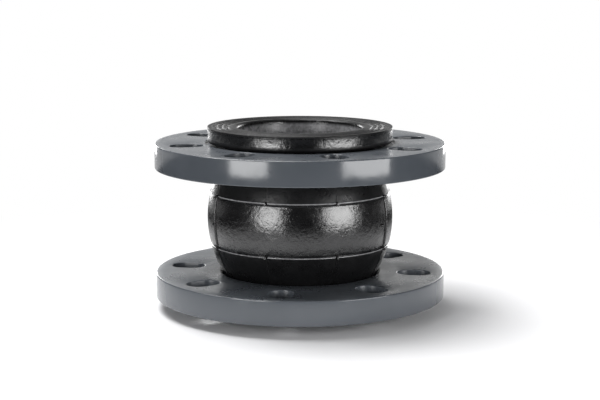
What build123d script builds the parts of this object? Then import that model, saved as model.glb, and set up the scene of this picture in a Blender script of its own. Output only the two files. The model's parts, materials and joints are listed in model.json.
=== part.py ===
"""DN100 rubber expansion joint with two loose slotted flanges.

The moulded body is drawn as the layers it is built from: liner, two cord plies, cover, and in each
bead a hoop of steel wire with its filler. Every layer runs from seal face to seal face and is then
cut on the level planes where the body bends, so that each stretch can follow its own joint.
The origin is at the middle of the lower seal face, with +Z up the pipe axis. Millimetres.
"""

from build123d import *
from math import sqrt
import os

# Body
free_length = 144.0  # seal face to seal face
bore_r = 47.9
liner_t = 6.25  # in the necks
liner_arch_t = 5.05
ply_t = 1.0
cover_t = 3.3
bond_gap = 0.05  # between bonded layers
arch_rise = 13.7  # crown above the necks
band_height = 42.4  # between the two mould lines
neck_round = 10.0
bore_round = 22.0
bend_margin = 1.3  # rigid end past the corner of neck and arch
flash_height = 0.5
flash_width = 0.8

# Beads
bead_t = 12.4
bead_overhang = 13.6  # bead past the neck
bead_back_round = 1.0
bead_neck_round = 1.2
seal_edge_round = 1.5
lip_round = 3.0
foot_t = 2.5  # liner under the plies
back_t = 1.5  # cover behind the plies
bead_side_t = 3.0  # cover outside the plies
parting_chamfer = 0.3
core_round = 0.6
wire_d = 1.9
wire_pitch = 2.0
wire_columns = 3
wire_play = 0.1  # between the wires and the plies
groove_radii = (57.2, 61.7, 66.1)
groove_width = 1.4
groove_depth = 0.8

# Flanges
flange_t = 19.4
hole_d = 19.0
hole_count = 8
slot_run = 7.75  # from the 175 mm to the 190.5 mm bolt circle, as a radius
recess_clearance = 1.8
recess_depth = 3.0
recess_land = 3.0
rim_land = 9.75
bore_clearance = 1.4
flare_width = 2.8  # bore edge on the arch's side
flare_height = 5.0
rim_round = 1.0
hole_chamfer = 0.6
corner_drop = 3.3  # corner of neck and arch, below the lower flange's arch side
seat_gap = 0.2
hang_gap = 0.5  # upper flange above the shoulder that it rests on
lower_hole_turn = -9.0  # degrees from the front
upper_hole_turn = 16.0

# Radii that follow
liner_r = bore_r + liner_t
ply_1_in = liner_r + bond_gap
ply_1_out = ply_1_in + ply_t
ply_2_in = ply_1_out + bond_gap
ply_2_out = ply_2_in + ply_t
cover_in = ply_2_out + bond_gap
neck_r = cover_in + cover_t
crown_r = neck_r + arch_rise
bead_r = neck_r + bead_overhang
flange_bore_r = neck_r + bore_clearance
flare_r = flange_bore_r + flare_width
recess_r = bead_r + recess_clearance
slot_in_r = recess_r + recess_land + hole_d / 2
slot_out_r = slot_in_r + slot_run
flange_r = slot_out_r + hole_d / 2 + rim_land

# Heights that follow
mid = free_length / 2
lower_flange_z = bead_t + seat_gap - recess_depth
corner_z = lower_flange_z + flange_t - corner_drop
bend_z = corner_z + bend_margin
mould_z = mid - band_height / 2
half_chord = mid - corner_z
arc_r = (half_chord**2 + arch_rise**2) / (2 * arch_rise)
arc_x = crown_r - arc_r  # the arch's centre lies past the axis
# The upper flange rests on the arch with one end of its flare or the other
rest_on_face = sqrt(arc_r**2 - (flare_r - hang_gap - arc_x) ** 2)
rest_on_bore = sqrt(arc_r**2 - (flange_bore_r - hang_gap - arc_x) ** 2) - flare_height
hang_z = max(rest_on_face, rest_on_bore)
upper_flange_z = mid + hang_z
inner_arc_r = arc_r - (cover_t + 2 * ply_t + 3 * bond_gap + liner_arch_t)

# Bead core: the space that the plies wrap
wrap_t = 2 * ply_t + 3 * bond_gap
core_lo = foot_t + wrap_t
core_hi = bead_t - back_t - wrap_t
core_in = cover_in
core_out = bead_r - bead_side_t - wrap_t
core_mid_r = (core_in + core_out) / 2
core_mid_z = (core_lo + core_hi) / 2
hoop_in = core_out - wire_columns * wire_pitch
hoop_height = core_hi - core_lo - 2 * wire_play
wire_rows = int(hoop_height // wire_d)
row_pitch = (hoop_height - wire_d) / max(wire_rows - 1, 1)
mirror_plane = Plane.XY.offset(mid)


def save(piece, name):
    piece.part.label = name
    export_step(piece.part, f"parts/{name}.step")


def box_face(r0, z0, r1, z1, mode=Mode.ADD):
    """A rectangle of the half section, given by two corners."""
    with Locations(((r0 + r1) / 2, (z0 + z1) / 2)):
        Rectangle(r1 - r0, z1 - z0, mode=mode)


def wrap_face(margin, mode=Mode.ADD):
    """The bead core's outline, larger by a margin all round."""
    with Locations((core_mid_r, core_mid_z)):
        RectangleRounded(
            core_out - core_in + 2 * margin,
            core_hi - core_lo + 2 * margin,
            core_round + margin,
            mode=mode,
        )


def envelope(straight_r, arch_radius, corner_round, z0=0.0):
    """Half section of all that lies inside one surface of the wall, necks and arch together."""
    rise_z = sqrt(arch_radius**2 - (straight_r - arc_x) ** 2)
    with BuildSketch(Plane.XZ) as face:
        with BuildLine():
            Polyline((straight_r, mid - rise_z), (straight_r, z0), (0, z0))
            Line((0, z0), (0, free_length - z0))
            Polyline((0, free_length - z0), (straight_r, free_length - z0), (straight_r, mid + rise_z))
            ThreePointArc((straight_r, mid + rise_z), (arc_x + arch_radius, mid), (straight_r, mid - rise_z))
        make_face()
        corners = [v for v in face.vertices() if abs(abs(v.Y - mid) - rise_z) < 1e-3]
        fillet(corners, corner_round)
    return face.sketch


def wall_envelope(depth):
    """The envelope at a depth below the outer surface."""
    return envelope(neck_r - depth, arc_r - depth, neck_round + depth)


def ply_layer(depth, inner_margin):
    """One cord ply: down the wall, under the bead core, round it and back to the neck."""
    with BuildSketch(Plane.XZ) as band:
        add(wall_envelope(depth))
        add(wall_envelope(depth + ply_t), mode=Mode.SUBTRACT)
        box_face(0, 0, crown_r, core_mid_z, mode=Mode.SUBTRACT)
        box_face(0, free_length - core_mid_z, crown_r, free_length, mode=Mode.SUBTRACT)
    with BuildSketch(Plane.XZ) as turn_up:
        wrap_face(inner_margin + ply_t)
        wrap_face(inner_margin, mode=Mode.SUBTRACT)
        box_face(0, core_mid_z, cover_in, bead_t, mode=Mode.SUBTRACT)
    with BuildPart() as ply:
        with BuildSketch(Plane.XZ):
            add(band.sketch)
            add(turn_up.sketch)
            add(mirror(turn_up.sketch, about=mirror_plane, mode=Mode.PRIVATE))
        revolve(axis=Axis.Z)
    return ply.part


def liner_layer():
    """The inner tube, with a foot at each end that makes the ridged seal face."""
    tube = envelope(liner_r, arc_r - (neck_r - liner_r), neck_round + neck_r - liner_r)
    hollow = envelope(bore_r, inner_arc_r, bore_round)
    corner = core_round + wrap_t
    with BuildSketch(Plane.XZ) as foot:
        box_face(bore_r, 0, bead_r, foot_t)
        edge = foot.vertices().filter_by(lambda v: v.X > bead_r - 1).sort_by(Axis.Y)
        chamfer(edge[-1], parting_chamfer)
        fillet(edge[0], seal_edge_round)
        box_face(bore_r, 0, liner_r + corner, foot_t + corner)
        wrap_face(wrap_t, mode=Mode.SUBTRACT)
        for radius in groove_radii:
            with Locations((radius, 0)):
                RectangleRounded(groove_width, 2 * groove_depth, groove_width / 2 - 0.01, mode=Mode.SUBTRACT)
    with BuildPart() as liner:
        with BuildSketch(Plane.XZ) as section:
            add(tube)
            add(foot.sketch)
            add(mirror(foot.sketch, about=mirror_plane, mode=Mode.PRIVATE))
            add(hollow, mode=Mode.SUBTRACT)
            lips = [v for v in section.vertices() if abs(v.X - bore_r) < 1e-3 and not 1 < v.Y < free_length - 1]
            fillet(lips, lip_round)
        revolve(axis=Axis.Z)
    return liner.part


def cover_layer():
    """The outer skin: arch, necks and the backs and sides of the beads."""
    with BuildSketch(Plane.XZ) as back:
        box_face(core_mid_r, foot_t + bond_gap, bead_r, bead_t)
        side = back.vertices().filter_by(lambda v: v.X > bead_r - 1).sort_by(Axis.Y)
        chamfer(side[0], parting_chamfer)
        fillet(side[-1], bead_back_round)
        box_face(cover_in, core_hi, core_mid_r, bead_t)
    with BuildPart() as cover:
        with BuildSketch(Plane.XZ) as section:
            add(wall_envelope(0))
            add(wall_envelope(cover_t), mode=Mode.SUBTRACT)
            box_face(0, 0, crown_r, core_hi, mode=Mode.SUBTRACT)
            box_face(0, free_length - core_hi, crown_r, free_length, mode=Mode.SUBTRACT)
            add(back.sketch)
            add(mirror(back.sketch, about=mirror_plane, mode=Mode.PRIVATE))
            necks = [
                v
                for v in section.vertices()
                if abs(v.X - neck_r) < 1e-3 and abs(abs(v.Y - mid) - (mid - bead_t)) < 1e-3
            ]
            fillet(necks, bead_neck_round)
            with BuildSketch(Plane.XZ, mode=Mode.PRIVATE) as wrap:
                wrap_face(wrap_t)
            add(wrap.sketch, mode=Mode.SUBTRACT)
            add(mirror(wrap.sketch, about=mirror_plane, mode=Mode.PRIVATE), mode=Mode.SUBTRACT)
            flash_r = arc_x + sqrt(arc_r**2 - (band_height / 2) ** 2) + flash_height
            box_face(flash_r - 1, mould_z, flash_r, mould_z + flash_width)
            box_face(flash_r - 1, free_length - mould_z - flash_width, flash_r, free_length - mould_z)
        revolve(axis=Axis.Z)
    return cover.part


def cut_into_stretches(layer, names):
    """Cut one whole layer on the four bending planes and save its five stretches, lowest first."""
    planes = (None, bend_z, mould_z, free_length - mould_z, free_length - bend_z, None)
    for name, low, high in zip(names, planes, planes[1:]):
        with BuildPart() as stretch:
            add(layer)
            if low is not None:
                split(bisect_by=Plane.XY.offset(low), keep=Keep.TOP)
            if high is not None:
                split(bisect_by=Plane.XY.offset(high), keep=Keep.BOTTOM)
        save(stretch, name)


def save_pair(lower, name):
    """Save a bead piece at the lower end and its mirror image at the upper end."""
    save(lower, f"lower_{name}")
    with BuildPart() as upper:
        mirror(lower.part, about=mirror_plane)
    save(upper, f"upper_{name}")


def flange(z0, turn, recess_up):
    """A loose flange: the recess takes the bead, the flared side of the bore faces the arch."""
    with BuildPart() as ring:
        with BuildSketch(Plane.XZ) as section:
            with BuildLine():
                Polyline(
                    (flange_bore_r, recess_depth),
                    (recess_r, recess_depth),
                    (recess_r, 0),
                    (flange_r, 0),
                    (flange_r, flange_t),
                    (flare_r, flange_t),
                    (flange_bore_r, flange_t - flare_height),
                    close=True,
                )
            make_face()
            fillet([v for v in section.vertices() if v.X > flange_r - 1], rim_round)
        revolve(axis=Axis.Z)
        before = ring.edges()
        with BuildSketch():
            with PolarLocations((slot_in_r + slot_out_r) / 2, hole_count, start_angle=turn - 90):
                SlotCenterToCenter(slot_run, hole_d)
        extrude(amount=flange_t, mode=Mode.SUBTRACT)
        rims = [e for e in ring.edges() - before if abs(e.center().Z - flange_t / 2) > flange_t / 2 - 0.01]
        chamfer(rims, hole_chamfer)
    with BuildPart() as placed:
        if recess_up:
            mirror(ring.part.moved(Location((0, 0, -flange_t - z0))), about=Plane.XY)
        else:
            add(ring.part.moved(Location((0, 0, z0))))
    return placed


os.makedirs("parts", exist_ok=True)

cut_into_stretches(
    liner_layer(),
    ("lower_seal_ring", "liner_lower_cone", "liner_band", "liner_upper_cone", "upper_seal_ring"),
)
cut_into_stretches(
    ply_layer(neck_r - ply_1_out, ply_t + 2 * bond_gap),
    ("lower_ply_1_turnup", "ply_1_lower_cone", "ply_1_band", "ply_1_upper_cone", "upper_ply_1_turnup"),
)
cut_into_stretches(
    ply_layer(neck_r - ply_2_out, bond_gap),
    ("lower_ply_2_turnup", "ply_2_lower_cone", "ply_2_band", "ply_2_upper_cone", "upper_ply_2_turnup"),
)
cut_into_stretches(
    cover_layer(),
    ("lower_bead_cover", "cover_lower_cone", "cover_band", "cover_upper_cone", "upper_bead_cover"),
)

with BuildPart() as hoop:
    for column in range(wire_columns):
        for row in range(wire_rows):
            wire_r = hoop_in + (column + 0.5) * wire_pitch
            wire_z = core_mid_z + (row - (wire_rows - 1) / 2) * row_pitch
            with Locations((0, 0, wire_z)):
                Torus(wire_r, wire_d / 2)
save_pair(hoop, "bead_hoop")

with BuildPart() as filler:
    with BuildSketch(Plane.XZ):
        with Locations(((core_in + hoop_in) / 2, core_mid_z)):
            RectangleRounded(hoop_in - core_in - 2 * bond_gap, core_hi - core_lo - 2 * bond_gap, core_round)
    revolve(axis=Axis.Z)
save_pair(filler, "bead_filler")

lower_flange = flange(lower_flange_z, lower_hole_turn, recess_up=False)
save(lower_flange, "lower_flange")

upper_flange = flange(upper_flange_z, upper_hole_turn, recess_up=True)
save(upper_flange, "upper_flange")
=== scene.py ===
"""A DN100 rubber expansion joint with two loose PVC flanges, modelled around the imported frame."""

import json
from math import atan2, cos, degrees, hypot, pi, radians, sin, sqrt

import bmesh
import bpy
from mathutils import Matrix, Vector


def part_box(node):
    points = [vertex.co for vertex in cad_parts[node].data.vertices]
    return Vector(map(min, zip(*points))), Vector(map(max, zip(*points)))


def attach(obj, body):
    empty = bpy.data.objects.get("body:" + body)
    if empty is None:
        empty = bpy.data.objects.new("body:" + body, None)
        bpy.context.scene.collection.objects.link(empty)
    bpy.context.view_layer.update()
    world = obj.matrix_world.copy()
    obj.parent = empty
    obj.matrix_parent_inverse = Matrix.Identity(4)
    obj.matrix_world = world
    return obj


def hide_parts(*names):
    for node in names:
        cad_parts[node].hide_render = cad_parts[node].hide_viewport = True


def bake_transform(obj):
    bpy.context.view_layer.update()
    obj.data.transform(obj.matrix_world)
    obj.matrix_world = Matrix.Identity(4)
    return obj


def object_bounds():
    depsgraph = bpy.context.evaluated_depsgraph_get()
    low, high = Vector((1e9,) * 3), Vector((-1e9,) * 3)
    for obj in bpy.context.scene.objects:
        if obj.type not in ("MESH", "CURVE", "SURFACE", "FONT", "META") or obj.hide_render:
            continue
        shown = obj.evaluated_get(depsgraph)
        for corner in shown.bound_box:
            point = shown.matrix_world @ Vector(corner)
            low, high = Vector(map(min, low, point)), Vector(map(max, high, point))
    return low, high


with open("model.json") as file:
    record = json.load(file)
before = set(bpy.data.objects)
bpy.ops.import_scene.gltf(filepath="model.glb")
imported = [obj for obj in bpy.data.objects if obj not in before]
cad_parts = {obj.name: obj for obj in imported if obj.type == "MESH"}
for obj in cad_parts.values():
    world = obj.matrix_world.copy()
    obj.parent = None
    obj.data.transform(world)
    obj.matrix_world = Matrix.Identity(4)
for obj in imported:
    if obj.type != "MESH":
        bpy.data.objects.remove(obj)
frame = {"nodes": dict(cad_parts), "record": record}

CAD_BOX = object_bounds()
MOUNTS = {m["name"]: m for m in frame["record"]["mounts"]}

MM = 0.001
WELD = 0.002 * MM  # vertices closer than this are one

# Sizes that the frame gives, in metres
HEIGHT = CAD_BOX[1][2]
MID = HEIGHT / 2
FLANGE_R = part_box("lower_flange")[1].x
LOWER_FLANGE_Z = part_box("lower_flange")[0].z
UPPER_FLANGE_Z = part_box("upper_flange")[0].z
FLANGE_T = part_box("lower_flange")[1].z - LOWER_FLANGE_Z
BAND_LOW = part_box("cover_band")[0].z
BAND_HIGH = HEIGHT - BAND_LOW
BEND_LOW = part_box("cover_lower_cone")[0].z
BEAD_PLAY = 0.18 * MM
BEAD_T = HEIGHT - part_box("upper_flange")[1].z - BEAD_PLAY
BORE_R = MOUNTS["lower_port"]["dims"]["r_mm"] * MM
SLOTS = MOUNTS["lower_bolt_slots"]["dims"]
SLOT_COUNT = SLOTS["count"]
SLOT_CIRCLE_R = SLOTS["pcd_mm"] * MM / 2
SLOT_HALF_W = SLOTS["hole_r_mm"] * MM
SLOT_RUN = SLOTS["slot_length_mm"] * MM - 2 * SLOT_HALF_W

# Wall of the moulded body
BOND_GAP = 0.05 * MM
PLY_T = 1.0 * MM
COVER_T = 3.3 * MM
LINER_ARCH_T = 5.05 * MM
NECK_R = BORE_R + 11.7 * MM
ARCH_RISE = 13.7 * MM
CORNER_Z = BEND_LOW - 1.3 * MM
NECK_ROUND = 10.0 * MM
BORE_ROUND = 22.0 * MM

CROWN_R = NECK_R + ARCH_RISE
ARC_R = ((MID - CORNER_Z) ** 2 + ARCH_RISE**2) / (2 * ARCH_RISE)
ARC_X = CROWN_R - ARC_R
PLY_2_DEPTH = COVER_T + BOND_GAP
PLY_1_DEPTH = PLY_2_DEPTH + PLY_T + BOND_GAP
LINER_DEPTH = PLY_1_DEPTH + PLY_T + BOND_GAP
BORE_ARC_R = ARC_R - LINER_DEPTH - LINER_ARCH_T

# Beads
BEAD_R = NECK_R + 13.6 * MM
FOOT_T = 2.5 * MM
LIP_R = BORE_R + 1.1 * MM
LIP_ROUND = 3.0 * MM
GROOVE_RADII = (57.2 * MM, 61.7 * MM, 66.1 * MM)
WRAP_CORNER = 2.75 * MM
LINER_R = BORE_R + 6.25 * MM

# Mould marks on the cover. Lines are at degrees from the front, sizes are half width and height.
CONE_LINES = (-148.1, -105.8, -63.5, -21.2, 23.2, 65.0, 106.5, 148.1)
BAND_LINES = (-148.1, -63.5, 65.0, 148.1)
CONE_LINE = (0.40 * MM, 0.40 * MM)
BAND_LINE = (0.62 * MM, 1.15 * MM)
RING_WIDE = 1.15 * MM
RING_HIGH = 0.75 * MM
NIB_R = 1.15 * MM
NIB_LONG = 2.8 * MM
ARCH_NIBS = ((-65.5, MID - 1 * MM), (60.0, MID - 1 * MM), (-146.0, MID), (151.0, MID))
ARCH_NIB_R = 1.2 * MM
ARCH_NIB_LONG = 1.4 * MM
LINE_ARC = 2.0  # degrees across each upright line that are spun in close steps

# Flanges
RECESS_R = BEAD_R + 1.8 * MM
RECESS_DEEP = 3.0 * MM
FLANGE_BORE_R = NECK_R + 1.4 * MM
FLARE_R = FLANGE_BORE_R + 2.8 * MM
FLARE_HIGH = 5.0 * MM
RIM_ROUND = 0.9 * MM
SLOT_ROUND = 0.7 * MM
LOWER_SLOT_TURN = -9.0
UPPER_SLOT_TURN = 16.0


# ---------------------------------------------------------------- outlines

def surface_r(z, straight_r, arc_r, corner_round):
    """Radius of one surface of the body at a height: neck, rounded corner, arch."""
    h = abs(z - MID)
    reach = straight_r + corner_round - ARC_X
    top = sqrt((arc_r + corner_round) ** 2 - reach**2)
    tangent = top * arc_r / (arc_r + corner_round)
    if h <= tangent:
        return ARC_X + sqrt(arc_r**2 - h**2)
    if h < top:
        return straight_r + corner_round - sqrt(corner_round**2 - (top - h) ** 2)
    return straight_r


def wall_r(z, depth):
    """Radius at a depth below the body's outer surface."""
    return surface_r(z, NECK_R - depth, ARC_R - depth, NECK_ROUND + depth)


def skin_r(z):
    return wall_r(z, 0)


def bore_wall_r(z):
    return surface_r(z, BORE_R, BORE_ARC_R, BORE_ROUND)


def spread(a, b, steps):
    return [a + (b - a) * i / steps for i in range(steps + 1)]


def arc_points(cx, cz, r, start, end, steps):
    """Points on an arc of the half section, angles in degrees from the outward direction."""
    return [(cx + r * cos(radians(t)), cz + r * sin(radians(t))) for t in spread(start, end, steps)]


# ---------------------------------------------------------------- mesh helpers

def chain(bm, points):
    """Draw an outline in the X-Z plane by extruding one vertex from point to point."""
    v = bm.verts.new((points[0][0], 0, points[0][1]))
    made = [v]
    for x, z in points[1:]:
        v = bmesh.ops.extrude_vert_indiv(bm, verts=[v])["verts"][0]
        v.co = (x, 0, z)
        made.append(v)
    return made


def close_chain(bm, verts):
    bm.edges.new((verts[-1], verts[0]))


def finish_mesh(name, bm, sharp=35.0):
    """Weld, point the faces outward, shade and link."""
    bmesh.ops.remove_doubles(bm, verts=bm.verts, dist=WELD)
    bmesh.ops.recalc_face_normals(bm, faces=bm.faces)
    mesh = bpy.data.meshes.new(name)
    bm.to_mesh(mesh)
    bm.free()
    mesh.shade_smooth()
    mesh.set_sharp_from_angle(angle=radians(sharp))
    piece = bpy.data.objects.new(name, mesh)
    bpy.context.scene.collection.objects.link(piece)
    return piece


def spun(bm, points, steps=240):
    """A closed outline turned once round the pipe axis."""
    verts = chain(bm, points)
    close_chain(bm, verts)
    bmesh.ops.spin(
        bm, geom=bm.verts[:] + bm.edges[:], cent=(0, 0, 0), axis=(0, 0, 1),
        angle=2 * pi, steps=steps, use_merge=True,
    )


def spun_with_lines(bm, points):
    """A closed outline turned round the axis, with close steps where the mould lines stand."""
    verts = chain(bm, points)
    close_chain(bm, verts)
    start = Matrix.Rotation(radians(CONE_LINES[0] - 90 - LINE_ARC / 2), 3, "Z")
    bmesh.ops.rotate(bm, verts=bm.verts, cent=(0, 0, 0), matrix=start)
    last = bm.verts[:] + bm.edges[:]
    for here, after in zip(CONE_LINES, CONE_LINES[1:] + (CONE_LINES[0] + 360,)):
        for angle, steps in ((LINE_ARC, 12), (after - here - LINE_ARC, 20)):
            made = bmesh.ops.spin(
                bm, geom=last, cent=(0, 0, 0), axis=(0, 0, 1), angle=radians(angle), steps=steps,
            )
            last = made["geom_last"]


def raise_lines(bm, turns, surface, size):
    """Raise a rounded ridge on the outer surface along each upright mould line."""
    half, high = size
    for v in bm.verts:
        r = hypot(v.co.x, v.co.y)
        if r < surface(v.co.z) - 0.5 * MM:
            continue  # on the inner surface
        front = degrees(atan2(v.co.x, -v.co.y))
        gap = min(abs((front - t + 180) % 360 - 180) for t in turns)
        off = radians(gap) * r / half
        if off < 1:
            scale = (r + high * sqrt(1 - off**2)) / r
            v.co.x *= scale
            v.co.y *= scale


def add_nib(bm, turn, z, r, long=NIB_LONG, wide=NIB_R):
    """A cut-off vent nib standing out of the cover."""
    a = radians(turn - 90)
    out = Vector((cos(a), sin(a), 0))
    root = 1.0 * MM
    made = bmesh.ops.create_cone(
        bm, cap_ends=True, segments=14, radius1=wide * 1.25, radius2=wide * 0.8,
        depth=long + root,
    )
    turn_out = Vector((0, 0, 1)).rotation_difference(out).to_matrix()
    bmesh.ops.rotate(bm, verts=made["verts"], cent=(0, 0, 0), matrix=turn_out)
    place = out * (r + (long - root) / 2) + Vector((0, 0, z))
    bmesh.ops.translate(bm, verts=made["verts"], vec=place)


def mirrored(bm):
    """Turn a lower-end mesh into the upper-end one."""
    bmesh.ops.scale(bm, verts=bm.verts, vec=(1, 1, -1))
    bmesh.ops.translate(bm, verts=bm.verts, vec=(0, 0, HEIGHT))


# ---------------------------------------------------------------- materials

def new_material(name):
    mat = bpy.data.materials.new(name)
    mat.use_nodes = True
    tree = mat.node_tree
    tree.nodes.clear()
    out = tree.nodes.new("ShaderNodeOutputMaterial")
    skin = tree.nodes.new("ShaderNodeBsdfPrincipled")
    tree.links.new(skin.outputs["BSDF"], out.inputs["Surface"])
    coords = tree.nodes.new("ShaderNodeTexCoord")
    return mat, tree, skin, coords.outputs["Object"]


def noise(tree, where, scale, detail=4.0, rough=0.55):
    node = tree.nodes.new("ShaderNodeTexNoise")
    node.inputs["Scale"].default_value = scale
    node.inputs["Detail"].default_value = detail
    node.inputs["Roughness"].default_value = rough
    tree.links.new(where, node.inputs["Vector"])
    return node.outputs["Fac"]


def ramp(tree, value, low, high, stops=(0.3, 0.7)):
    """Map a grey value between two colours."""
    node = tree.nodes.new("ShaderNodeValToRGB")
    node.color_ramp.interpolation = "EASE"
    node.color_ramp.elements[0].position = stops[0]
    node.color_ramp.elements[1].position = stops[1]
    node.color_ramp.elements[0].color = (*low, 1)
    node.color_ramp.elements[1].color = (*high, 1)
    tree.links.new(value, node.inputs["Fac"])
    return node.outputs["Color"]


def span(tree, value, low, high):
    """Map a grey value to a number range."""
    node = tree.nodes.new("ShaderNodeMapRange")
    node.interpolation_type = "SMOOTHSTEP"
    node.inputs["From Min"].default_value = 0.3
    node.inputs["From Max"].default_value = 0.7
    node.inputs["To Min"].default_value = low
    node.inputs["To Max"].default_value = high
    tree.links.new(value, node.inputs["Value"])
    return node.outputs["Result"]


def marked(tree, name):
    """A number that the mesh keeps on its vertices, or 0 where it keeps none."""
    node = tree.nodes.new("ShaderNodeAttribute")
    node.attribute_name = name
    return node.outputs["Fac"]


def scaled(tree, value, factor, base):
    """value * factor + base, where base is a number or a node's output"""
    node = tree.nodes.new("ShaderNodeMath")
    node.operation = "MULTIPLY_ADD"
    node.inputs[1].default_value = factor
    tree.links.new(value, node.inputs[0])
    if isinstance(base, float):
        node.inputs[2].default_value = base
    else:
        tree.links.new(base, node.inputs[2])
    return node.outputs[0]


def bumps(tree, skin, layers):
    """Stack bump layers of (height, distance in metres, strength)."""
    previous = None
    for height, distance, strength in layers:
        node = tree.nodes.new("ShaderNodeBump")
        node.inputs["Distance"].default_value = distance
        node.inputs["Strength"].default_value = strength
        tree.links.new(height, node.inputs["Height"])
        if previous:
            tree.links.new(previous, node.inputs["Normal"])
        previous = node.outputs["Normal"]
    tree.links.new(previous, skin.inputs["Normal"])


def grey_pvc():
    """Hard grey plastic: a bright turned rim, and matt faces."""
    mat, tree, skin, where = new_material("grey_pvc")
    cloud = noise(tree, where, 14, 3)
    patina = noise(tree, where, 55, 5)
    grain = noise(tree, where, 1400, 2)
    finish = scaled(tree, marked(tree, "matt"), 0.16, span(tree, patina, 0.09, 0.20))
    tree.links.new(finish, skin.inputs["Roughness"])
    colour = ramp(tree, cloud, (0.070, 0.079, 0.091), (0.085, 0.094, 0.107))
    tree.links.new(colour, skin.inputs["Base Color"])
    skin.inputs["IOR"].default_value = 1.6
    bumps(tree, skin, ((cloud, 0.0003, 0.10), (patina, 0.0005, 0.28), (grain, 0.00002, 0.15)))
    return mat


# Light grey painted on the band's proud edges as a painted highlight and in the bore as painted
# light
PAINTED_SHEEN_GREY = (0.30, 0.30, 0.31)
STREAK_ROUGH = 0.22
MATT_ROUGH = 0.24
MATT_DULLS = 0.8  # share of the gloss that the matt surface loses


def moulded_rubber(name, shade, rough, gloss=0.5, matt_places=False):
    """Black rubber, mottled from the mould.

    The mesh marks where a light grey is painted on, as a painted highlight on the band's proud
    edges and as painted light in the bore, and, on rubber with matt places, where it is matt.
    """
    mat, tree, skin, where = new_material(name)
    patches = noise(tree, where, 55, 6, 0.68)
    streaks = noise(tree, where, 330, 4, 0.6)
    fine = noise(tree, where, 900, 3)
    dark = tuple(c * 0.65 for c in shade)
    # Painted highlight and painted light: the light grey is mixed in where the mesh marks it
    sheen_amount = tree.nodes.new("ShaderNodeMath")
    sheen_amount.operation = "MULTIPLY"
    tree.links.new(marked(tree, "painted_sheen"), sheen_amount.inputs[0])
    tree.links.new(span(tree, streaks, 0.55, 1.0), sheen_amount.inputs[1])
    colour = tree.nodes.new("ShaderNodeMix")
    colour.data_type = "RGBA"
    tree.links.new(sheen_amount.outputs[0], colour.inputs[0])
    tree.links.new(ramp(tree, patches, dark, shade), colour.inputs[6])
    colour.inputs[7].default_value = (*PAINTED_SHEEN_GREY, 1)
    tree.links.new(colour.outputs[2], skin.inputs["Base Color"])
    low, high = (edge - STREAK_ROUGH / 2 for edge in rough)
    finish = scaled(tree, streaks, STREAK_ROUGH, span(tree, patches, low, high))
    skin.inputs["Specular IOR Level"].default_value = gloss
    if matt_places:
        matt = marked(tree, "matt")
        finish = scaled(tree, matt, MATT_ROUGH, finish)
        shine = scaled(tree, matt, -MATT_DULLS * gloss, gloss)
        tree.links.new(shine, skin.inputs["Specular IOR Level"])
    tree.links.new(finish, skin.inputs["Roughness"])
    skin.inputs["IOR"].default_value = 1.56
    bumps(tree, skin, ((patches, 0.0009, 0.5), (streaks, 0.0003, 0.8), (fine, 0.00005, 0.4)))
    return mat


def dipped_cord():
    mat, tree, skin, where = new_material("dipped_cord")
    wave = tree.nodes.new("ShaderNodeTexWave")
    wave.bands_direction = "DIAGONAL"
    wave.inputs["Scale"].default_value = 260
    wave.inputs["Distortion"].default_value = 1.0
    tree.links.new(where, wave.inputs["Vector"])
    colour = ramp(tree, wave.outputs["Fac"], (0.10, 0.06, 0.03), (0.30, 0.20, 0.10))
    tree.links.new(colour, skin.inputs["Base Color"])
    tree.links.new(span(tree, wave.outputs["Fac"], 0.62, 0.78), skin.inputs["Roughness"])
    bumps(tree, skin, ((wave.outputs["Fac"], 0.0003, 0.6),))
    return mat


def brassed_wire():
    mat, tree, skin, where = new_material("brassed_wire")
    cloud = noise(tree, where, 300, 3)
    colour = ramp(tree, cloud, (0.42, 0.33, 0.18), (0.60, 0.50, 0.32))
    tree.links.new(colour, skin.inputs["Base Color"])
    tree.links.new(span(tree, cloud, 0.25, 0.4), skin.inputs["Roughness"])
    skin.inputs["Metallic"].default_value = 1.0
    bumps(tree, skin, ((noise(tree, where, 1200, 2), 0.00002, 0.3),))
    return mat


PVC = grey_pvc()
COVER_FINISH = {"shade": (0.008, 0.008, 0.0085), "rough": (0.14, 0.26), "gloss": 0.85}
LINER_FINISH = {"shade": (0.009, 0.009, 0.0095), "rough": (0.18, 0.32)}
BAND_RUBBER = moulded_rubber("band_rubber", **COVER_FINISH)
BEAD_RUBBER = moulded_rubber("bead_rubber", **COVER_FINISH, matt_places=True)
# The cones' rubber is a darker copy, painted shade for where the flanges shade them; its lower
# gloss and rougher finish are material
SHADED_CONE_RUBBER = moulded_rubber("cone_rubber_shaded", (0.007, 0.007, 0.0075), (0.26, 0.40), gloss=0.3)
LINER_RUBBER = moulded_rubber("liner_rubber", **LINER_FINISH)
SEAL_RUBBER = moulded_rubber("seal_rubber", **LINER_FINISH, matt_places=True)
FILLER_RUBBER = moulded_rubber("filler_rubber", (0.03, 0.03, 0.03), (0.5, 0.65))
CORD = dipped_cord()
WIRE = brassed_wire()


def mark(piece, name, amount):
    """Keep a number from 0 to 1 on every vertex, for the materials to read."""
    values = piece.data.attributes.new(name, "FLOAT", "POINT")
    for v, value in zip(piece.data.vertices, values.data):
        value.value = amount(hypot(v.co.x, v.co.y), v.co.z)


def dress(piece, material, nodes):
    piece.data.materials.append(material)
    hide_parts(*nodes)


# ---------------------------------------------------------------- flanges

# The belt of a flange face that holds the slots, and the steps round it and across it
SLOT_BELT = (
    SLOT_CIRCLE_R - SLOT_RUN / 2 - SLOT_HALF_W - 1.5 * MM,
    SLOT_CIRCLE_R + SLOT_RUN / 2 + SLOT_HALF_W + 4.0 * MM,
)
SHARE_STEPS = 32
BELT_STEPS = 8
SLOT_LEAN = 0.55  # spaces the points evenly along a slot's straight sides


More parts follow.
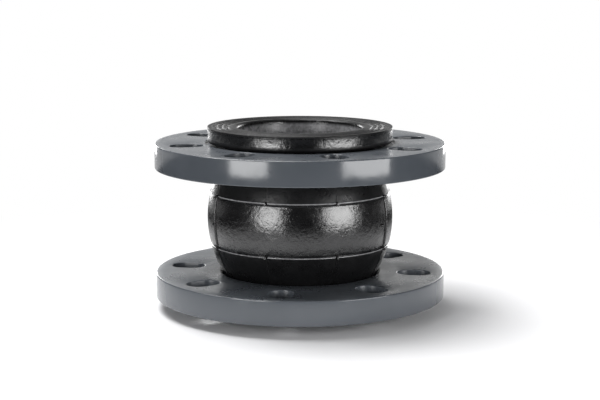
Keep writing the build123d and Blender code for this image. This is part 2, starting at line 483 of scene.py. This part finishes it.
def slot_face(bm, z, turn):
    """One share of a flange face with its slot, as a flat ring of quads. Gives the slot's edges."""
    half = pi / SLOT_COUNT
    border = [(SLOT_BELT[1], t) for t in spread(-half, half, SHARE_STEPS)[:-1]]
    border += [(r, half) for r in spread(SLOT_BELT[1], SLOT_BELT[0], BELT_STEPS)[:-1]]
    border += [(SLOT_BELT[0], t) for t in spread(half, -half, SHARE_STEPS)[:-1]]
    border += [(r, -half) for r in spread(*SLOT_BELT, BELT_STEPS)[:-1]]
    count = len(border)
    loop = [bm.verts.new((r * cos(t + turn), r * sin(t + turn), z)) for r, t in border]
    hole = []
    for r, t in border:
        x, y = r * cos(t) - SLOT_CIRCLE_R, r * sin(t)
        lean = max(-SLOT_RUN / 2, min(SLOT_RUN / 2, x * SLOT_LEAN))
        away = hypot(x - lean, y)
        px = SLOT_CIRCLE_R + lean + (x - lean) / away * SLOT_HALF_W
        py = y / away * SLOT_HALF_W
        spot = Matrix.Rotation(turn, 3, "Z") @ Vector((px, py, z))
        hole.append(bm.verts.new(spot))
    outer = [bm.edges.new((loop[i], loop[(i + 1) % count])) for i in range(count)]
    inner = [bm.edges.new((hole[i], hole[(i + 1) % count])) for i in range(count)]
    bmesh.ops.bridge_loops(bm, edges=outer + inner)
    return inner


def on_slot_rim(edge):
    """Whether a slot's wall meets a face of the flange at this edge."""
    z0, z1 = (v.co.z for v in edge.verts)
    level = abs(z0 - z1) < WELD and min(z0, FLANGE_T - z0) < WELD
    return level and edge.is_manifold and edge.calc_face_angle() > radians(80)


def flange_mesh(name, base_z, turn_deg, upside_down):
    """A loose flange: plate with slots, recess for the bead, flared bore, rounded rim."""
    bm = bmesh.new()
    inner_r, outer_r = SLOT_BELT
    steps = SLOT_COUNT * SHARE_STEPS
    start = radians(turn_deg - 90) - pi / SLOT_COUNT
    rim = [(outer_r, 0)]
    rim += arc_points(FLANGE_R - RIM_ROUND, RIM_ROUND, RIM_ROUND, -90, 0, 6)
    rim += arc_points(FLANGE_R - RIM_ROUND, FLANGE_T - RIM_ROUND, RIM_ROUND, 0, 90, 6)
    rim += [(outer_r, FLANGE_T)]
    edge = 0.5 * MM
    burr = 0.15 * MM
    flare_end = FLANGE_T - FLARE_HIGH
    middle = [(inner_r, FLANGE_T)]
    middle += [(FLARE_R + 0.5 * MM, FLANGE_T)]
    middle += [(FLARE_R + 0.1 * MM, FLANGE_T - 0.1 * MM), (FLARE_R - 0.2 * MM, FLANGE_T - 0.5 * MM)]
    middle += [(FLANGE_BORE_R + 0.2 * MM, flare_end + 0.4 * MM)]
    middle += [(FLANGE_BORE_R, flare_end - 0.4 * MM)]
    middle += [(FLANGE_BORE_R, RECESS_DEEP + edge), (FLANGE_BORE_R + edge, RECESS_DEEP)]
    middle += [(RECESS_R - edge, RECESS_DEEP), (RECESS_R, RECESS_DEEP - edge)]
    middle += [(RECESS_R, burr), (RECESS_R + burr, 0), (inner_r, 0)]
    for outline in (rim, middle):
        verts = chain(bm, outline)
        edges = list({e for v in verts for e in v.link_edges})
        bmesh.ops.rotate(bm, verts=verts, cent=(0, 0, 0), matrix=Matrix.Rotation(start, 3, "Z"))
        bmesh.ops.spin(
            bm, geom=verts + edges, cent=(0, 0, 0), axis=(0, 0, 1),
            angle=2 * pi, steps=steps, use_merge=True,
        )
    for k in range(SLOT_COUNT):
        turn = radians(turn_deg - 90 + 360 / SLOT_COUNT * k)
        low = slot_face(bm, 0, turn)
        high = slot_face(bm, FLANGE_T, turn)
        bmesh.ops.bridge_loops(bm, edges=low + high)
    bmesh.ops.remove_doubles(bm, verts=bm.verts, dist=WELD)
    bmesh.ops.recalc_face_normals(bm, faces=bm.faces)
    slot_edges = [e for e in bm.edges if on_slot_rim(e)]
    bmesh.ops.bevel(
        bm, geom=slot_edges, offset=SLOT_ROUND, offset_type="OFFSET", segments=3, profile=0.5,
        affect="EDGES", material=-1, clamp_overlap=True,
    )
    if upside_down:
        bmesh.ops.scale(bm, verts=bm.verts, vec=(1, 1, -1))
        bmesh.ops.translate(bm, verts=bm.verts, vec=(0, 0, FLANGE_T))
    bmesh.ops.translate(bm, verts=bm.verts, vec=(0, 0, base_z))
    return finish_mesh(name, bm, 40)


for name, base_z, turn, upside_down in (
    ("lower_flange", LOWER_FLANGE_Z, LOWER_SLOT_TURN, False),
    ("upper_flange", UPPER_FLANGE_Z, UPPER_SLOT_TURN, True),
):
    piece = flange_mesh(f"{name}_moulding", base_z, turn, upside_down)
    mark(piece, "matt", lambda r, z: min(1, (FLANGE_R - r) / RIM_ROUND))
    dress(piece, PVC, [name])
    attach(piece, name)


# ---------------------------------------------------------------- moulded body

def layer_outline(z0, z1, outer, inner, steps=24):
    """Closed outline of a layer between two surfaces, from one level to another."""
    up = [(outer(z), z) for z in spread(z0, z1, steps)]
    down = [(inner(z), z) for z in spread(z1, z0, steps)]
    return up + down


def ring_edge(z, outward):
    """The rounded edge of the band, proud of the cone beyond it, from the cone's side inwards."""
    r = skin_r(z)
    shape = ((0.0, 0.0), (0.02, 0.55), (0.10, 0.80), (0.22, 0.94), (0.38, 1.0))
    shape += ((0.55, 0.94), (0.72, 0.66), (0.86, 0.30), (1.0, 0.08), (1.2, 0.0))
    return [(r + RING_HIGH * rise, z + outward * RING_WIDE * run) for run, rise in shape]


def band_outline():
    clear = 1.6 * RING_WIDE
    up = ring_edge(BAND_LOW, 1)
    up += [(skin_r(z), z) for z in spread(BAND_LOW + clear, BAND_HIGH - clear, 34)]
    up += ring_edge(BAND_HIGH, -1)[::-1]
    down = [(wall_r(z, COVER_T), z) for z in spread(BAND_HIGH, BAND_LOW, 30)]
    return up + down


# Each stretch: its two levels, the bodies that it joins, and the levels between which it bends.
LIP_ROOM = 1.0 * MM
STRETCHES = {
    "lower_cone": (
        BEND_LOW, BAND_LOW, "lower_end", "lower_shoulder",
        LOWER_FLANGE_Z + FLANGE_T + LIP_ROOM, BAND_LOW,
    ),
    "band": (BAND_LOW, BAND_HIGH, "lower_shoulder", "upper_shoulder", BAND_LOW, BAND_HIGH),
    "upper_cone": (
        BAND_HIGH, HEIGHT - BEND_LOW, "upper_shoulder", "upper_end",
        BAND_HIGH, UPPER_FLANGE_Z - LIP_ROOM,
    ),
}


def on_ring_edge(r, z):
    """Marks the band's proud edges, where a light grey is painted on as a painted highlight."""
    from_edge = abs(abs(z - MID) - (MID - BAND_LOW - RING_WIDE / 2))
    proud = r - skin_r(z)
    return 1.0 if from_edge < RING_WIDE and 0.1 * MM < proud < RING_HIGH + 0.1 * MM else 0.0


def in_bore(r, z):
    """Marks the bore, which is painted a lighter grey as painted light from the lamps in front."""
    return 1.0 if r < bore_wall_r(z) + 1.0 * MM else 0.0


for stretch, (z0, z1, below, above, bend_from, bend_to) in STRETCHES.items():
    bm = bmesh.new()
    if stretch == "band":
        spun_with_lines(bm, band_outline())
        bmesh.ops.remove_doubles(bm, verts=bm.verts, dist=WELD)
        raise_lines(bm, BAND_LINES, skin_r, BAND_LINE)
        for turn in CONE_LINES:
            for z in (z0 + RING_WIDE / 2, z1 - RING_WIDE / 2):
                add_nib(bm, turn, z, skin_r(z))
        for turn, z in ARCH_NIBS:
            add_nib(bm, turn, z, skin_r(z), long=ARCH_NIB_LONG, wide=ARCH_NIB_R)
    else:
        spun_with_lines(bm, layer_outline(z0, z1, skin_r, lambda z: wall_r(z, COVER_T), 26))
        bmesh.ops.remove_doubles(bm, verts=bm.verts, dist=WELD)
        raise_lines(bm, CONE_LINES, skin_r, CONE_LINE)
    piece = finish_mesh(f"cover_{stretch}_rubber", bm)
    if stretch == "band":
        # Painted highlight: a light grey on the band's proud edges
        mark(piece, "painted_sheen", on_ring_edge)
    rubber = BAND_RUBBER if stretch == "band" else SHADED_CONE_RUBBER
    dress(piece, rubber, [f"cover_{stretch}"])
    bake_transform(piece)

    for layer, depth in (("ply_2", PLY_2_DEPTH), ("ply_1", PLY_1_DEPTH)):
        bm = bmesh.new()
        outline = layer_outline(
            z0, z1, lambda z: wall_r(z, depth), lambda z: wall_r(z, depth + PLY_T), 16,
        )
        spun(bm, outline, 144)
        piece = finish_mesh(f"{layer}_{stretch}_cord", bm)
        dress(piece, CORD, [f"{layer}_{stretch}"])
        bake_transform(piece)

    bm = bmesh.new()
    spun(bm, layer_outline(z0, z1, lambda z: wall_r(z, LINER_DEPTH), bore_wall_r), 240)
    piece = finish_mesh(f"liner_{stretch}_rubber", bm)
    # Painted light: the bore is painted a lighter grey
    mark(piece, "painted_sheen", in_bore)
    dress(piece, LINER_RUBBER, [f"liner_{stretch}"])
    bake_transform(piece)


# The bore widens below these levels: millimetres past the bore's radius, and the level
BORE_FLARE = ((0.0, 10.0), (0.25, 8.0), (0.7, 5.0))
# Steps across the seal face in millimetres, with their depths: a groove and the domed land beside
# it from the groove's middle, then the outer edge and the overhang under it from the bead's side
GROOVE = ((-0.95, 0.34), (-0.70, 0.50), (-0.50, 0.90), (-0.22, 1.20))
GROOVE += ((0.22, 1.20), (0.50, 0.90), (0.70, 0.50), (0.95, 0.34))
LAND = ((1.3, 0.16), (1.7, 0.05), (2.2, 0.0), (2.7, 0.05), (3.1, 0.15))
SEAL_EDGE = ((3.4, 0.30), (3.0, 0.34), (2.6, 0.30), (2.1, 0.08), (1.5, 0))
SEAL_OVERHANG = ((0, 1.35), (0.18, 1.62), (0.62, 1.72), (0.62, 1.95), (0.38, 2.1))
EDGE_ROUND = 0.7 * MM
SIDE_INSET = 0.42 * MM
BACK_T = 1.5 * MM
BACK_ROUND = 2.0 * MM
HEEL_ROUND = 1.2 * MM  # where the bead's back meets the neck
SIDE_T = 3.0 * MM


def seal_ring_outline():
    """The liner's end: bore, rounded lip, ridged seal face, overhanging edge, bed of the plies."""
    neck_z = CORNER_Z - 5 * MM
    points = [(bore_wall_r(z), z) for z in spread(BEND_LOW, neck_z, 12)]
    points += [(BORE_R + out * MM, z * MM) for out, z in BORE_FLARE]
    points += arc_points(LIP_R + LIP_ROUND, LIP_ROUND, LIP_ROUND, 187, 262, 9)
    points += [(LIP_R + LIP_ROUND + 0.4 * MM, 0)]
    for r in GROOVE_RADII:
        points += [(r + across * MM, deep * MM) for across, deep in GROOVE + LAND]
    points += [(BEAD_R - inset * MM, deep * MM) for inset, deep in SEAL_EDGE]
    points += arc_points(BEAD_R - EDGE_ROUND, EDGE_ROUND, EDGE_ROUND, -90, 0, 5)
    points += [(BEAD_R - inset * MM, deep * MM) for inset, deep in SEAL_OVERHANG]
    points += [(BEAD_R - SIDE_INSET, FOOT_T)]
    points += [(LINER_R + WRAP_CORNER, FOOT_T)]
    points += arc_points(LINER_R + WRAP_CORNER, FOOT_T + WRAP_CORNER, WRAP_CORNER, 270, 180, 6)[1:]
    points += [(wall_r(z, LINER_DEPTH), z) for z in spread(neck_z, BEND_LOW, 8)]
    return points


def bead_cover_outline():
    """The cover's end: side and back of the bead, and the neck."""
    back = BEAD_T
    neck_z = CORNER_Z - 4 * MM
    inside_r = NECK_R - COVER_T
    side_in = BEAD_R - SIDE_T
    points = [(skin_r(z), z) for z in spread(BEND_LOW, neck_z, 8)]
    points += arc_points(NECK_R + HEEL_ROUND, back + HEEL_ROUND, HEEL_ROUND, 180, 270, 5)
    points += [(BEAD_R - 3.2 * MM, back)]
    points += arc_points(BEAD_R - 2.4 * MM, back - BACK_ROUND, BACK_ROUND, 90, 8, 9)
    points += [(BEAD_R - 0.50 * MM, back - 4.2 * MM), (BEAD_R - 0.60 * MM, back - 6.2 * MM)]
    points += [(BEAD_R - 0.50 * MM, FOOT_T + 1.2 * MM), (BEAD_R - SIDE_INSET, FOOT_T + BOND_GAP)]
    points += [(side_in - WRAP_CORNER, FOOT_T + BOND_GAP)]
    points += arc_points(side_in - WRAP_CORNER, FOOT_T + WRAP_CORNER, WRAP_CORNER, -90, 0, 6)[1:]
    bed = back - BACK_T
    points += arc_points(side_in - WRAP_CORNER, bed - WRAP_CORNER, WRAP_CORNER, 0, 90, 6)
    points += [(inside_r, bed)]
    points += [(wall_r(z, COVER_T), z) for z in spread(neck_z, BEND_LOW, 8)]
    return points


def from_end(z):
    return min(z, HEIGHT - z)


def on_seal_face(r, z):
    return 0.7 if from_end(z) < 1.3 * MM and r > BORE_R + 1.5 * MM else 0.0


def on_bead_back(r, z):
    return 1.0 if from_end(z) > BEAD_T - 3.5 * MM else 0.0


for end, upper in (("lower", False), ("upper", True)):
    for part, outline, material, slot, matt_amount in (
        ("seal_ring", seal_ring_outline, SEAL_RUBBER, "liner_rubber", on_seal_face),
        ("bead_cover", bead_cover_outline, BEAD_RUBBER, "cover_rubber", on_bead_back),
    ):
        bm = bmesh.new()
        spun(bm, outline(), 288)
        if upper:
            mirrored(bm)
        piece = finish_mesh(f"{end}_{part}_rubber", bm)
        mark(piece, "matt", matt_amount)
        if part == "seal_ring":
            # Painted light: the seal ring's bore is painted a lighter grey
            mark(piece, "painted_sheen", in_bore)
        dress(piece, material, [f"{end}_{part}"])
        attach(piece, f"{end}_end")
    for part, material in (
        ("ply_1_turnup", CORD), ("ply_2_turnup", CORD),
        ("bead_hoop", WIRE), ("bead_filler", FILLER_RUBBER),
    ):
        node = frame["nodes"][f"{end}_{part}"]
        node.data.materials.clear()
        node.data.materials.append(material)


# ---------------------------------------------------------------- studio

TABLE_R = 12.0
NEAR_TABLE, FAR_TABLE = 0.15, 0.50  # the matt white ends between these distances
BEHIND_TABLE = (0.50, 0.58)  # past this the table is mirrored white
BEHIND_ROOM = (0.86, 0.94)  # how far back a mirrored direction points where the room turns white
MIRRORED_WHITE, ROOM_MIRRORED, ROOM_LIGHT = 0.7, 0.03, 0.14

TABLE_PAINT = (0.86, 0.86, 0.87, 1)

CAMERA_PLACE = (0, -1.1825, 0.2796)
CAMERA_DIP = 9.36  # degrees
CAMERA_LENS = 90.56


def faded(tree, value, low, high, smooth=False):
    """A number that goes from 0 to 1 as the value goes from low to high."""
    node = tree.nodes.new("ShaderNodeMapRange")
    if smooth:
        node.interpolation_type = "SMOOTHSTEP"
    node.inputs["From Min"].default_value = low
    node.inputs["From Max"].default_value = high
    tree.links.new(value, node.inputs["Value"])
    return node


def studio_white():
    """Matt white table. Far from the joint it runs into the white room without an edge."""
    mat = bpy.data.materials.new("table_white")
    mat.use_nodes = True
    tree = mat.node_tree
    tree.nodes.clear()
    out = tree.nodes.new("ShaderNodeOutputMaterial")
    path = tree.nodes.new("ShaderNodeLightPath")
    coords = tree.nodes.new("ShaderNodeTexCoord")
    away = tree.nodes.new("ShaderNodeVectorMath")
    away.operation = "LENGTH"
    tree.links.new(coords.outputs["Object"], away.inputs[0])
    far = faded(tree, away.outputs["Value"], NEAR_TABLE, FAR_TABLE, smooth=True)
    paint = tree.nodes.new("ShaderNodeBsdfDiffuse")
    paint.inputs["Color"].default_value = TABLE_PAINT
    place = tree.nodes.new("ShaderNodeSeparateXYZ")
    tree.links.new(coords.outputs["Object"], place.inputs[0])
    behind = faded(tree, place.outputs["Y"], *BEHIND_TABLE)
    behind.inputs["To Max"].default_value = MIRRORED_WHITE
    mirrored_white = tree.nodes.new("ShaderNodeMath")
    mirrored_white.operation = "MULTIPLY"
    tree.links.new(path.outputs["Is Glossy Ray"], mirrored_white.inputs[0])
    tree.links.new(behind.outputs[0], mirrored_white.inputs[1])
    shown = tree.nodes.new("ShaderNodeMath")
    shown.operation = "ADD"
    tree.links.new(path.outputs["Is Camera Ray"], shown.inputs[0])
    tree.links.new(mirrored_white.outputs[0], shown.inputs[1])
    white = tree.nodes.new("ShaderNodeEmission")
    tree.links.new(shown.outputs[0], white.inputs["Strength"])
    blend = tree.nodes.new("ShaderNodeMixShader")
    tree.links.new(far.outputs[0], blend.inputs["Fac"])
    tree.links.new(paint.outputs[0], blend.inputs[1])
    tree.links.new(white.outputs[0], blend.inputs[2])
    tree.links.new(blend.outputs[0], out.inputs["Surface"])
    return mat


bm = bmesh.new()
bmesh.ops.create_circle(bm, cap_ends=True, cap_tris=False, segments=96, radius=TABLE_R)
table = finish_mesh("table", bm)
table.data.materials.append(studio_white())


def softbox(name, place, size, target, watts):
    """An area lamp at a place, turned to a target."""
    data = bpy.data.lights.new(name, "AREA")
    data.shape = "RECTANGLE"
    data.size, data.size_y = size
    data.energy = watts
    lamp = bpy.data.objects.new(name, data)
    bpy.context.scene.collection.objects.link(lamp)
    lamp.visible_camera = False
    lamp.location = place
    lamp.rotation_euler = (Vector(target) - Vector(place)).to_track_quat("-Z", "Y").to_euler()


# Two low softboxes in front, two narrow ones behind that edge the sides, and one overhead
softbox("left_softbox", (-0.441, -0.588, 0.148), (0.365, 0.285), (0, 0, 0.148), 2.4)
softbox("right_softbox", (0.532, -0.465, 0.148), (0.475, 0.285), (0, 0, 0.148), 2.9)
softbox("left_edge_light", (-0.40, 0.92, 0.205), (0.31, 0.40), (0, 0, 0.205), 2.2)
softbox("right_edge_light", (0.40, 0.92, 0.205), (0.31, 0.40), (0, 0, 0.205), 2.2)
softbox("top_softbox", (-0.45, 0.30, 1.4), (1.0, 1.0), (0, 0, 0), 30)


def studio_room():
    """A white room for the camera, dim for the light, and white only behind for reflections."""
    world = bpy.data.worlds.new("studio")
    world.use_nodes = True
    tree = world.node_tree
    tree.nodes.clear()
    out = tree.nodes.new("ShaderNodeOutputWorld")
    path = tree.nodes.new("ShaderNodeLightPath")
    coords = tree.nodes.new("ShaderNodeTexCoord")
    parts = tree.nodes.new("ShaderNodeSeparateXYZ")
    tree.links.new(coords.outputs["Generated"], parts.inputs[0])
    behind = faded(tree, parts.outputs["Y"], *BEHIND_ROOM)
    behind.inputs["To Min"].default_value = ROOM_MIRRORED
    behind.inputs["To Max"].default_value = MIRRORED_WHITE
    room, soft, white = (tree.nodes.new("ShaderNodeBackground") for _ in range(3))
    for node in (room, soft, white):
        node.inputs["Color"].default_value = (1, 1, 1, 1)
    tree.links.new(behind.outputs[0], room.inputs["Strength"])
    soft.inputs["Strength"].default_value = ROOM_LIGHT
    white.inputs["Strength"].default_value = 1.0
    glossy = tree.nodes.new("ShaderNodeMixShader")
    tree.links.new(path.outputs["Is Glossy Ray"], glossy.inputs["Fac"])
    tree.links.new(soft.outputs[0], glossy.inputs[1])
    tree.links.new(room.outputs[0], glossy.inputs[2])
    seen = tree.nodes.new("ShaderNodeMixShader")
    tree.links.new(path.outputs["Is Camera Ray"], seen.inputs["Fac"])
    tree.links.new(glossy.outputs[0], seen.inputs[1])
    tree.links.new(white.outputs[0], seen.inputs[2])
    tree.links.new(seen.outputs[0], out.inputs["Surface"])
    return world


bpy.context.scene.world = studio_room()

camera_data = bpy.data.cameras.new("camera")
camera_data.lens = CAMERA_LENS
camera_data.sensor_width = 36
camera = bpy.data.objects.new("camera", camera_data)
bpy.context.scene.collection.objects.link(camera)
camera.location = CAMERA_PLACE
camera.rotation_euler = (radians(90 - CAMERA_DIP), 0, 0)
bpy.context.scene.camera = camera

bpy.context.scene.view_settings.view_transform = "Standard"
